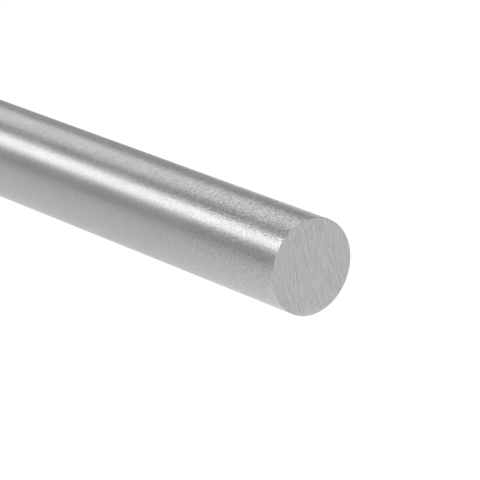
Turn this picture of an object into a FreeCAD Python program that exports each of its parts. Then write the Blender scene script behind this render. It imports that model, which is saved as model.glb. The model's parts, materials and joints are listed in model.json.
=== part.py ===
# Round metal bar: one cut length of solid ground steel stock, lying on its side.
#
# The bar runs along X. The origin is at the middle of its underside, so the bar's lowest line
# is on Z = 0 and its axis is half a diameter above it. Both ends are cut square and sanded
# flat, and their edges are lightly broken all round.

import FreeCAD, Part
import Sketcher
import os

# Driving sizes in millimetres.
SIZES = {
    "bar_diameter": 25.4,
    "bar_length": 304.8,
    "edge_break": 0.1,
}


def make_sizes(doc):
    """The sheet that drives the model: one named cell for each size."""
    sheet = doc.addObject("Spreadsheet::Sheet", "Sizes")
    for row, (name, value) in enumerate(SIZES.items(), start=1):
        sheet.set(f"A{row}", name)
        sheet.set(f"B{row}", str(value))
        sheet.setAlias(f"B{row}", name)
    doc.recompute()
    return sheet


def origin_plane(body, role):
    """One of the body's own base planes, such as YZ_Plane."""
    return next(f for f in body.Origin.OriginFeatures if f.Role == role)


def make_section(body):
    """The bar's round cross-section, drawn about its axis across the bar's length."""
    section = body.newObject("Sketcher::SketchObject", "section")
    section.AttachmentSupport = (origin_plane(body, "YZ_Plane"), [""])
    section.MapMode = "FlatFace"

    centre = FreeCAD.Vector(0, 0, 0)
    across_plane = FreeCAD.Vector(0, 0, 1)
    radius = SIZES["bar_diameter"] / 2
    circle = section.addGeometry(Part.Circle(centre, across_plane, radius), False)

    # Point 3 of a circle is its centre, and point 1 of geometry -1 is the sketch's origin.
    section.addConstraint(Sketcher.Constraint("Coincident", circle, 3, -1, 1))
    across = section.addConstraint(Sketcher.Constraint("Diameter", circle, 2 * radius))
    section.setExpression(f"Constraints[{across}]", "Sizes.bar_diameter")
    return section


def end_edges(shape):
    """The two circles where the barrel meets the end faces."""
    return [
        f"Edge{number}"
        for number, edge in enumerate(shape.Edges, start=1)
        if isinstance(edge.Curve, Part.Circle)
    ]


def make_bar(doc):
    """The bar itself: the section extruded both ways from the middle, its end edges broken."""
    bar = doc.addObject("PartDesign::Body", "round_bar")
    bar.Label = "round_bar"
    section = make_section(bar)

    stock = bar.newObject("PartDesign::Pad", "stock")
    stock.Profile = section
    stock.Midplane = True
    stock.setExpression("Length", "Sizes.bar_length")
    doc.recompute()

    broken_edges = bar.newObject("PartDesign::Chamfer", "broken_edges")
    broken_edges.Base = (stock, end_edges(stock.Shape))
    broken_edges.setExpression("Size", "Sizes.edge_break")
    bar.Tip = broken_edges

    # The bar lies on the floor, so its axis is half a diameter up.
    bar.setExpression("Placement.Base.z", "Sizes.bar_diameter / 2")
    doc.recompute()
    return bar


def check(doc, parts):
    """Stops the build where an object failed or a solid isn't sound."""
    for item in doc.Objects:
        if "Invalid" in item.State or "Error" in item.State:
            raise RuntimeError(f"{item.Name} failed: {item.State}")
    for part in parts:
        if part.Shape.isNull() or not part.Shape.isValid():
            raise RuntimeError(f"{part.Label} has no valid shape")


def write(parts):
    """Each piece's solid goes to its own STEP file, named for the piece."""
    os.makedirs("parts", exist_ok=True)
    for part in parts:
        part.Shape.exportStep(f"parts/{part.Label}.step")
        box = part.Shape.BoundBox
        print(
            f"{part.Label}: {box.XLength:.2f} x {box.YLength:.2f} x {box.ZLength:.2f} mm, "
            f"lowest point {box.ZMin:.3f} mm, volume {part.Shape.Volume:.0f} mm3"
        )


doc = FreeCAD.newDocument("round_bar")
make_sizes(doc)
pieces = [make_bar(doc)]
check(doc, pieces)
write(pieces)
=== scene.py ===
import json
import math

import bmesh
import bpy
from mathutils import Matrix, Vector


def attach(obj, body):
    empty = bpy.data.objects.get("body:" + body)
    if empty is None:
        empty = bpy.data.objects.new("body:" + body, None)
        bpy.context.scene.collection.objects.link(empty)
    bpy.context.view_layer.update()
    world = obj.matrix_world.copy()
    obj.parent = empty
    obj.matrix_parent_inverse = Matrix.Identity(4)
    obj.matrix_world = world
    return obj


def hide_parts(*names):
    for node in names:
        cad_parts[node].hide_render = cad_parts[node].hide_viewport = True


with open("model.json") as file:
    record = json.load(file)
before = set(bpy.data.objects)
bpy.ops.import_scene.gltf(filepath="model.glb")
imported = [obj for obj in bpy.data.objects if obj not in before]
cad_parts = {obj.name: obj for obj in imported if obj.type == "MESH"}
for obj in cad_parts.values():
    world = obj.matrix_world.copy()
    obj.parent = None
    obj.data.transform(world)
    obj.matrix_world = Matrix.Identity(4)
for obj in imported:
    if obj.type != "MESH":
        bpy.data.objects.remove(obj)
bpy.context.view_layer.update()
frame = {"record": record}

mm = 0.001  # the scene is in metres, and so is every length that isn't marked mm


def hexToLinear(hexColour):
    # the sRGB curve undone, channel by channel
    channels = [int(hexColour[start:start + 2], 16) / 255 for start in (1, 3, 5)]
    linear = [c / 12.92 if c <= 0.04045 else ((c + 0.055) / 1.055) ** 2.4 for c in channels]
    return (*linear, 1.0)


def addNode(tree, kind, settings=None, links=None):
    # settings go to the node's own options or its sockets, links to its sockets, by name or number. A Mix
    # node takes its share at 0, numbers at 2 and 3 or colours at 6 and 7, and its colour comes out at 2
    node = tree.nodes.new(kind)
    for name, value in (settings or {}).items():
        if isinstance(name, int) or name in node.inputs:
            node.inputs[name].default_value = value
        else:
            setattr(node, name, value)
    for name, output in (links or {}).items():
        tree.links.new(output, node.inputs[name])
    return node


def newMaterial(name):
    material = bpy.data.materials.new(name)
    material.use_nodes = True
    material.node_tree.nodes.clear()
    return material


# The bar: 1 in ground steel stock, both ends sanded square and their edges just broken
bar = {
    "edgeBreak": 0.1 * mm,      # how far the broken edge runs back from the corner
    "edgeSteps": 6,             # facets across the rounded edge
    "segments": 256,            # round the barrel
    "ringSpacing": 6.35 * mm,   # rings along the barrel
    "faceRings": (0.25, 0.5, 0.75, 0.96),       # rings on each end face, as shares of its radius
    "squareOn": 0.99,           # a facet turned to the bar's length at least so squarely is an end face's
    "mapGap": 1.5 * mm,         # between the parts of the texture map
    "mapFaces": 1.6,            # how much larger than the barrel the end faces are laid out on it
}

extent = frame["record"]["size"]["bbox_m"]
barLength = extent[0]
barRadius = extent[1] / 2
barrelSlot, faceSlot = 0, 1     # the order of the bar's two materials


def barProfile():
    # half of the turned outline, as (along, out) points, from the far face's centre to the near one's
    halfLength = barLength / 2
    edge = bar["edgeBreak"]
    shoulder = halfLength - edge
    flatRadius = barRadius - edge
    faceEnd = [(halfLength, flatRadius * share) for share in bar["faceRings"]]
    turn = [math.pi / 2 * step / bar["edgeSteps"] for step in range(bar["edgeSteps"] + 1)]
    rounding = [(shoulder + edge * math.cos(a), flatRadius + edge * math.sin(a)) for a in turn]
    hold = (shoulder - edge, barRadius)     # keeps the smooth shading of the edge off the barrel
    nearEnd = faceEnd + rounding + [hold]
    ringCount = round(2 * hold[0] / bar["ringSpacing"])
    barrel = [(hold[0] - 2 * hold[0] * ring / ringCount, barRadius) for ring in range(1, ringCount)]
    farEnd = [(-along, out) for along, out in reversed(nearEnd)]
    return nearEnd + barrel + farEnd


def layOutMap(mesh):
    # for baking, on a square: each half of the barrel rolled out flat, cut open along its underside, and
    # a disc beside it for its end
    layer = mesh.loops.layers.uv.new("OFBake")
    gap = bar["mapGap"]
    disc = barRadius * bar["mapFaces"]
    side = barLength / 2 + 2 * disc + 3 * gap
    girth = 2 * math.pi * barRadius

    def turnOf(place):
        return math.atan2(-place.y, place.z - barRadius)    # from the top, towards the camera's side

    for face in mesh.faces:
        middle = face.calc_center_median()
        row = 0 if middle.x > 0 else 1
        for loop in face.loops:
            place = loop.vert.co
            if face.material_index == faceSlot:
                across = barLength / 2 + 2 * gap + disc + place.y * bar["mapFaces"]
                up = gap + row * (2 * disc + gap) + place.z * bar["mapFaces"]
            else:
                turn = turnOf(place)
                # a facet's corners all stay on its own side of the cut
                turn -= 2 * math.pi * round((turn - turnOf(middle)) / (2 * math.pi))
                across = gap + barLength / 2 - abs(place.x)
                up = gap + row * (girth + gap) + (turn + math.pi) * barRadius
            loop[layer].uv = (across / side, up / side)


def makeBar(barrelMaterial, faceMaterial):
    profile = barProfile()
    count = bar["segments"]
    mesh = bmesh.new()
    rings = []
    for along, out in profile:
        ring = []
        for step in range(count):
            angle = 2 * math.pi * step / count
            place = (along, out * math.cos(angle), barRadius + out * math.sin(angle))
            ring.append(mesh.verts.new(place))
        rings.append(ring)
    for ring, following in zip(rings, rings[1:]):
        for step in range(count):
            after = (step + 1) % count
            mesh.faces.new((ring[step], ring[after], following[after], following[step]))
    for ring, along in ((rings[0], barLength / 2), (rings[-1], -barLength / 2)):
        centre = mesh.verts.new((along, 0, barRadius))
        for step in range(count):
            mesh.faces.new((centre, ring[step], ring[(step + 1) % count]))
    bmesh.ops.recalc_face_normals(mesh, faces=mesh.faces)
    for face in mesh.faces:
        face.smooth = True
        face.material_index = faceSlot if abs(face.normal.x) > bar["squareOn"] else barrelSlot
    layOutMap(mesh)

    data = bpy.data.meshes.new("groundBar")
    mesh.to_mesh(data)
    mesh.free()
    data.materials.append(barrelMaterial)
    data.materials.append(faceMaterial)
    piece = bpy.data.objects.new("ground_bar", data)
    bpy.context.scene.collection.objects.link(piece)
    return piece


noiseMiddle = 0.5


def layPatterns(tree, place, patterns, mark, beside=0.0):
    # noise with cells so many grit marks long, along the bar, across it and up; each pattern's own shift
    # keeps it clear of the others
    laid = {}
    for name, pattern in patterns.items():
        shift = pattern["shift"] + beside
        cell = [marks * mark for marks in pattern["cell"]]
        mapping = addNode(tree, "ShaderNodeMapping", {
            "vector_type": "TEXTURE", "Location": (shift, shift, shift), "Scale": cell,
            "Rotation": (math.radians(pattern.get("lean", 0)), 0, 0)}, {"Vector": place})
        noise = addNode(tree, "ShaderNodeTexNoise", {"Scale": 1.0, "Detail": pattern["detail"]}, {
            "Vector": mapping.outputs[0]})
        laid[name] = noise.outputs[0]
    return laid


# Centreless ground steel: a satin grey with a fine grain round the bar that sparkles in the highlights,
# and a touch lighter in the last few mm at both ends
barrelFinish = {
    "dark": "#8F8F8F",
    "light": "#DDDDDD",
    "roughness": (0.28, 0.33),      # least and most
    "gritMark": 0.2 * mm,           # what one grain of an 80 grit wheel leaves, less than a pixel here,
    "coarser": 2.5,                 # so it is drawn this much coarser
    "relief": 0.06 * mm,            # and deeper than it really is
    "patterns": {
        "grain": {"cell": (1, 1, 1), "detail": 0.5, "shift": 0.31},
        "lines": {"cell": (0.8, 4, 4), "detail": 1.0, "shift": 0.17},
        "softGrain": {"cell": (2.4, 2.4, 2.4), "detail": 0.0, "shift": 0.44},
        "cloud": {"cell": (28, 28, 28), "detail": 2.0, "shift": 0.53},
    },
    "cloudSpan": (0.3, 0.7),        # the noise that takes the roughness from least to most
    "linesShare": 0.25,             # lines against grain
    "tintSpan": 0.4,                # how far the grain falls for the dark colour and rises for the light
    "fade": (0.02, 0.27),           # the fine grain is whole up to the first share of the length in from
    "leastGrain": 0.3,              # each end, and from the second on only this much of it is left
    "softShare": 0.14,              # the soft grain, which is even all along
    "sides": 0.65,                  # how strongly both show on the sides and on top; the grain is the steel's own, but its greater contrast on top is painted, standing in for the highlights and groove shade that bring it out there
    "top": 1.65,
    "topSpan": (1.42, 2.0),         # how high up the one turns into the other, in radii
    "lighterEnd": 3.5 * mm,            # how far in from each end it is lighter
    "lighterEndLift": 0.08,            # how much lighter it is there, as a share of dark to light
}


def groundSteelBarrel():
    material = newMaterial("centrelessGroundSteel")
    tree = material.node_tree
    finish = barrelFinish
    place = addNode(tree, "ShaderNodeTexCoord").outputs["Object"]
    patterns = layPatterns(tree, place, finish["patterns"], finish["gritMark"] * finish["coarser"])

    # how strongly the grain shows here
    axes = addNode(tree, "ShaderNodeSeparateXYZ", links={"Vector": place}).outputs
    fromMiddle = addNode(tree, "ShaderNodeMath", {"operation": "ABSOLUTE"}, {0: axes["X"]}).outputs[0]
    alongStrength = addNode(tree, "ShaderNodeMapRange", {
        "interpolation_type": "SMOOTHSTEP",
        "From Min": barLength * (0.5 - finish["fade"][1]), "From Max": barLength * (0.5 - finish["fade"][0]),
        "To Min": finish["leastGrain"], "To Max": 1.0}, {"Value": fromMiddle}).outputs[0]
    # stronger towards the top: painted contrast that stands in for the highlights bringing the grain out
    # there
    roundStrength = addNode(tree, "ShaderNodeMapRange", {
        "interpolation_type": "SMOOTHSTEP",
        "From Min": barRadius * finish["topSpan"][0], "From Max": barRadius * finish["topSpan"][1],
        "To Min": finish["sides"], "To Max": finish["top"]}, {"Value": axes["Z"]}).outputs[0]

    mottle = addNode(tree, "ShaderNodeMix", {"data_type": "FLOAT", 0: finish["linesShare"]}, {
        2: patterns["grain"], 3: patterns["lines"]}).outputs[0]
    fine = addNode(tree, "ShaderNodeMath", {"operation": "SUBTRACT", 1: noiseMiddle}, {0: mottle}).outputs[0]
    soft = addNode(tree, "ShaderNodeMapRange", {
        "clamp": False, "To Min": -finish["softShare"] / 2, "To Max": finish["softShare"] / 2}, {
        "Value": patterns["softGrain"]}).outputs[0]
    grain = addNode(tree, "ShaderNodeMath", {"operation": "MULTIPLY_ADD"}, {
        0: fine, 1: alongStrength, 2: soft}).outputs[0]
    height = addNode(tree, "ShaderNodeMath", {"operation": "MULTIPLY"}, {
        0: grain, 1: roundStrength}).outputs[0]

    tint = addNode(tree, "ShaderNodeMapRange", {
        "From Min": -finish["tintSpan"], "From Max": finish["tintSpan"]}, {"Value": height}).outputs[0]
    # a touch lighter in the last few mm at each end
    lighterEnd = addNode(tree, "ShaderNodeMapRange", {
        "interpolation_type": "SMOOTHSTEP",
        "From Min": barLength / 2 - finish["lighterEnd"], "From Max": barLength / 2,
        "To Max": finish["lighterEndLift"]}, {"Value": fromMiddle}).outputs[0]
    tint = addNode(tree, "ShaderNodeMath", {"operation": "ADD"}, {0: tint, 1: lighterEnd}).outputs[0]
    colour = addNode(tree, "ShaderNodeMix", {
        "data_type": "RGBA", 6: hexToLinear(finish["dark"]), 7: hexToLinear(finish["light"])}, {0: tint})
    gloss = addNode(tree, "ShaderNodeMapRange", {
        "From Min": finish["cloudSpan"][0], "From Max": finish["cloudSpan"][1],
        "To Min": finish["roughness"][0], "To Max": finish["roughness"][1]}, {"Value": patterns["cloud"]})
    relief = addNode(tree, "ShaderNodeBump", {
        "Strength": 1.0, "Distance": finish["relief"]}, {"Height": height})
    shader = addNode(tree, "ShaderNodeBsdfPrincipled", {"Metallic": 1.0}, {
        "Base Color": colour.outputs[2], "Roughness": gloss.outputs[0], "Normal": relief.outputs[0]})
    addNode(tree, "ShaderNodeOutputMaterial", links={"Surface": shader.outputs["BSDF"]})
    return material


# Belt sanded steel: dull straight streaks that all lean one way, with a few deeper scratches among them,
# each with painted shade along it and a painted glint on a raised burr beside it
faceFinish = {
    "dark": "#BCBCBC",
    "light": "#DADADA",
    "roughness": 0.35,
    "gritMark": 0.12 * mm,          # what one grain of a 120 grit belt leaves, less than a pixel here,
    "coarser": 3,                   # so it is drawn this much coarser
    "relief": 0.02 * mm,            # and deeper than it really is
    "streaks": {
        "long": {"cell": (8, 1, 14), "detail": 1.0, "shift": 0.23, "lean": 11},
        "short": {"cell": (8, 1, 2.2), "detail": 1.0, "shift": 0.41, "lean": 6},
    },
    "shortShare": 0.4,              # short streaks against long ones
    "streakSpan": (0.2, 0.8),       # the noise that takes the tint from dark to light
    "shadedScratches": {
        "slight": {"cell": (8, 0.8, 11), "detail": 0.0, "shift": 0.37, "lean": 8},
        "steep": {"cell": (8, 0.8, 14), "detail": 0.0, "shift": 0.67, "lean": 14},
    },
    "scratchLevel": (0.68, 0.79),   # how strong the noise is where a scratch starts and is deepest
    "burrGlintOffset": 0.28 * mm,        # each has a raised burr this far beside it, with a painted glint on it
    "scratchShadeDepth": 1.6,            # how far the scratches' painted shade darkens the tint, where the streaks move it from 0 to 1
    # how far the burrs' painted glint lightens the tint
    "burrGlintHeight": 2.0,
}


def sandedSteelFace():
    material = newMaterial("beltSandedSteel")
    tree = material.node_tree
    finish = faceFinish
    place = addNode(tree, "ShaderNodeTexCoord").outputs["Object"]
    mark = finish["gritMark"] * finish["coarser"]

    streaks = layPatterns(tree, place, finish["streaks"], mark)
    mixed = addNode(tree, "ShaderNodeMix", {"data_type": "FLOAT", 0: finish["shortShare"]}, {
        2: streaks["long"], 3: streaks["short"]}).outputs[0]
    tint = addNode(tree, "ShaderNodeMapRange", {
        "From Min": finish["streakSpan"][0], "From Max": finish["streakSpan"][1],
        "clamp": False}, {"Value": mixed}).outputs[0]
    shadedScratches = layPatterns(tree, place, finish["shadedScratches"], mark)
    burrGlints = layPatterns(tree, place, finish["shadedScratches"], mark, beside=finish["burrGlintOffset"])
    # the scratches darken the tint with painted shade and the burrs beside them lighten it with painted
    # glints; the tint also drives the relief
    for marks, height in ((shadedScratches, -finish["scratchShadeDepth"]), (burrGlints, finish["burrGlintHeight"])):
        for pattern in marks.values():
            step = addNode(tree, "ShaderNodeMapRange", {
                "From Min": finish["scratchLevel"][0], "From Max": finish["scratchLevel"][1],
                "To Max": height}, {"Value": pattern}).outputs[0]
            tint = addNode(tree, "ShaderNodeMath", {"operation": "ADD"}, {0: tint, 1: step}).outputs[0]

    colour = addNode(tree, "ShaderNodeMix", {
        "data_type": "RGBA", 6: hexToLinear(finish["dark"]), 7: hexToLinear(finish["light"])}, {0: tint})
    relief = addNode(tree, "ShaderNodeBump", {
        "Strength": 1.0, "Distance": finish["relief"]}, {"Height": tint})
    shader = addNode(tree, "ShaderNodeBsdfPrincipled", {
        "Metallic": 1.0, "Roughness": finish["roughness"]}, {
        "Base Color": colour.outputs[2], "Normal": relief.outputs[0]})
    addNode(tree, "ShaderNodeOutputMaterial", links={"Surface": shader.outputs["BSDF"]})
    return material


piece = makeBar(groundSteelBarrel(), sandedSteelFace())
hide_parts("round_bar")
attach(piece, "root")
print("bar made:", len(piece.data.polygons), "faces")


# The studio: a light table, grey walls and soft boxes, made to be seen in the steel. Straight on, the
# table and the walls are the same plain white
studio = {
    "backdrop": "#FFFFFF",
    "backdropGlow": 1.03,           # a touch over white, so that no ripple of the denoiser shows in it
    "frontWall": "#B1B1B1",         # above the table, on the camera's side of the bar
    "backWall": "#B9B9B9",          # and on the far side
    "ceiling": "#939393",
    "wallSpan": 0.7,                # how far to either side one wall's grey turns into the other's
    "table": "#FFFFFF",
    "tableLength": 1.6,
    "tableFront": 0.27,             # how far it reaches on the camera's side of the bar
    "tableBack": 0.34,              # and on the far side
    "tableGlow": (0.60, 0.70),      # its own light, along most of the bar and at its near end
    "glowSpan": (0.082, 0.146),     # where along the bar the one turns into the other
    "footGlow": 0.25,               # more light close to the bar, down to about a third at this reach
    "footReach": 0.042,
    "footEnd": (0.150, 0.158),      # where along the bar that part fades out, at the near end
    "tableShade": 0.08,             # how much of the room's light it sends back
    # in degrees: angle is up from level on the camera's side and on over the top, turn swings the box's
    # length round the bar, tilt brings one end nearer, and width is how wide it looks from the bar;
    # offset slides it along the bar
    "softBoxes": {
        "frontSoftBox": {
            "angle": 39.3, "turn": -8.1, "tilt": 10.4, "width": 23.8, "distance": 1.2, "length": 8.0,
            "offset": 0.0, "radiance": 1.72},
        "backSoftBox": {
            "angle": 95.6, "turn": -15.1, "tilt": 13.4, "width": 33.8, "distance": 1.2, "length": 8.0,
            "offset": 0.0, "radiance": 0.72},
        "fillCard": {
            "angle": 178.5, "turn": 0.0, "tilt": 0.0, "width": 7.3, "distance": 0.6, "length": 1.44,
            "offset": 0.15, "radiance": 1.1},
    },
}


def makeTable():
    halfLength = studio["tableLength"] / 2
    front, back = studio["tableFront"], studio["tableBack"]
    corners = [
        (-halfLength, -front, 0),
        (halfLength, -front, 0),
        (halfLength, back, 0),
        (-halfLength, back, 0),
    ]
    data = bpy.data.meshes.new("lightTable")
    data.from_pydata(corners, [], [(0, 1, 2, 3)])

    material = newMaterial("opalAcrylicTable")
    tree = material.node_tree
    white = hexToLinear(studio["table"])
    shade = [channel * studio["tableShade"] for channel in white[:3]]
    place = addNode(tree, "ShaderNodeTexCoord").outputs["Object"]
    axes = addNode(tree, "ShaderNodeSeparateXYZ", links={"Vector": place}).outputs
    alongGlow = addNode(tree, "ShaderNodeMapRange", {
        "From Min": studio["glowSpan"][0], "From Max": studio["glowSpan"][1],
        "To Min": studio["tableGlow"][0], "To Max": studio["tableGlow"][1]}, {"Value": axes["X"]})
    fromBar = addNode(tree, "ShaderNodeMath", {"operation": "ABSOLUTE"}, {0: axes["Y"]})
    reaches = addNode(tree, "ShaderNodeMath", {"operation": "DIVIDE", 1: -studio["footReach"]}, {
        0: fromBar.outputs[0]})
    falling = addNode(tree, "ShaderNodeMath", {"operation": "EXPONENT"}, {0: reaches.outputs[0]})
    foot = addNode(tree, "ShaderNodeMapRange", {
        "From Min": studio["footEnd"][0], "From Max": studio["footEnd"][1],
        "To Min": studio["footGlow"], "To Max": 0.0}, {"Value": axes["X"]})
    glow = addNode(tree, "ShaderNodeMath", {"operation": "MULTIPLY_ADD"}, {
        0: falling.outputs[0], 1: foot.outputs[0], 2: alongGlow.outputs[0]})
    acrylic = addNode(tree, "ShaderNodeBsdfPrincipled", {
        "Base Color": (*shade, 1.0), "Roughness": 1.0, "Specular IOR Level": 0.0,
        "Emission Color": white}, {"Emission Strength": glow.outputs[0]})
    backdrop = addNode(tree, "ShaderNodeEmission", {
        "Color": hexToLinear(studio["backdrop"]), "Strength": studio["backdropGlow"]})
    ray = addNode(tree, "ShaderNodeLightPath")
    mix = addNode(tree, "ShaderNodeMixShader", links={
        0: ray.outputs["Is Camera Ray"], 1: acrylic.outputs["BSDF"], 2: backdrop.outputs[0]})
    addNode(tree, "ShaderNodeOutputMaterial", links={"Surface": mix.outputs[0]})
    material.cycles.emission_sampling = "NONE"      # a wide soft glow is cleaner without it
    data.materials.append(material)
    table = bpy.data.objects.new("light_table", data)
    bpy.context.scene.collection.objects.link(table)


def makeSoftBox(name, box):
    angle, turn, tilt = [math.radians(box[key]) for key in ("angle", "turn", "tilt")]
    out = Vector((0, -math.cos(angle), math.sin(angle)))
    over = Vector((0, math.sin(angle), math.cos(angle)))        # on round the bar, towards the back
    level = Vector((1, 0, 0)) * math.cos(turn) + over * math.sin(turn)
    along = level * math.cos(tilt) + out * math.sin(tilt)
    across = out.cross(along).normalized()
    width = 2 * box["distance"] * math.tan(math.radians(box["width"] / 2))

    data = bpy.data.lights.new(name, "AREA")
    data.shape = "RECTANGLE"
    data.size = box["length"]
    data.size_y = width
    data.energy = box["radiance"] * math.pi * box["length"] * width     # watts, for that radiance
    light = bpy.data.objects.new(name, data)
    light.location = Vector((box["offset"], 0, barRadius)) + out * box["distance"]
    light.rotation_euler = Matrix((along, across, along.cross(across))).transposed().to_euler()
    light.visible_camera = False
    bpy.context.scene.collection.objects.link(light)


def makeWalls():
    world = bpy.data.worlds.new("greyWalls")
    bpy.context.scene.world = world
    world.use_nodes = True
    world.cycles.sampling_method = "NONE"           # as for the table's glow
    tree = world.node_tree
    tree.nodes.clear()
    towards = addNode(tree, "ShaderNodeTexCoord").outputs["Generated"]
    axes = addNode(tree, "ShaderNodeSeparateXYZ", links={"Vector": towards}).outputs
    behind = addNode(tree, "ShaderNodeMapRange", {
        "From Min": -studio["wallSpan"], "From Max": studio["wallSpan"]}, {"Value": axes["Y"]})
    overhead = addNode(tree, "ShaderNodeMapRange", links={"Value": axes["Z"]})
    wall = addNode(tree, "ShaderNodeMix", {
        "data_type": "RGBA", 6: hexToLinear(studio["frontWall"]), 7: hexToLinear(studio["backWall"])}, {
        0: behind.outputs[0]})
    room = addNode(tree, "ShaderNodeMix", {"data_type": "RGBA", 7: hexToLinear(studio["ceiling"])}, {
        0: overhead.outputs[0], 6: wall.outputs[2]})
    walls = addNode(tree, "ShaderNodeBackground", links={"Color": room.outputs[2]})
    backdrop = addNode(tree, "ShaderNodeBackground", {
        "Color": hexToLinear(studio["backdrop"]), "Strength": studio["backdropGlow"]})
    ray = addNode(tree, "ShaderNodeLightPath")
    mix = addNode(tree, "ShaderNodeMixShader", links={
        0: ray.outputs["Is Camera Ray"], 1: walls.outputs[0], 2: backdrop.outputs[0]})
    addNode(tree, "ShaderNodeOutputWorld", links={"Surface": mix.outputs[0]})


makeTable()
makeWalls()
for name, box in studio["softBoxes"].items():
    makeSoftBox(name, box)
print("studio lit:", len(studio["softBoxes"]), "soft boxes")


# The camera: a long lens, looking down along the bar at its near end
camera = {
    "azimuth": 51.22,           # degrees round from square on to the bar, towards its near end
    "elevation": 17.95,
    "lens": 232.2,
    "sensor": 36.0,
    "frame": 480,               # the picture's side in pixels
    "facePixel": (311.75, 267.0),       # where the near face's centre falls in it
    "faceDepth": 0.7699,        # metres from the lens to the near face, along the view
}


def makeCamera():
    azimuth = math.radians(camera["azimuth"])
    elevation = math.radians(camera["elevation"])
    back = Vector((
        math.sin(azimuth) * math.cos(elevation),
        -math.cos(azimuth) * math.cos(elevation),
        math.sin(elevation),
    ))
    right = Vector((math.cos(azimuth), math.sin(azimuth), 0))
    up = back.cross(right)
    pixelsPerSlope = camera["lens"] / camera["sensor"] * camera["frame"]
    column, row = [(pixel - camera["frame"] / 2) / pixelsPerSlope for pixel in camera["facePixel"]]
    nearFace = Vector((barLength / 2, 0, barRadius))
    toFace = (column * right - row * up - back) * camera["faceDepth"]

    data = bpy.data.cameras.new("camera")
    data.lens = camera["lens"]
    data.sensor_width = camera["sensor"]
    view = bpy.data.objects.new("camera", data)
    view.location = nearFace - toFace
    view.rotation_euler = back.to_track_quat("Z", "Y").to_euler()
    bpy.context.scene.collection.objects.link(view)
    bpy.context.scene.camera = view


makeCamera()
bpy.context.scene.view_settings.view_transform = "Standard"
print("camera set")
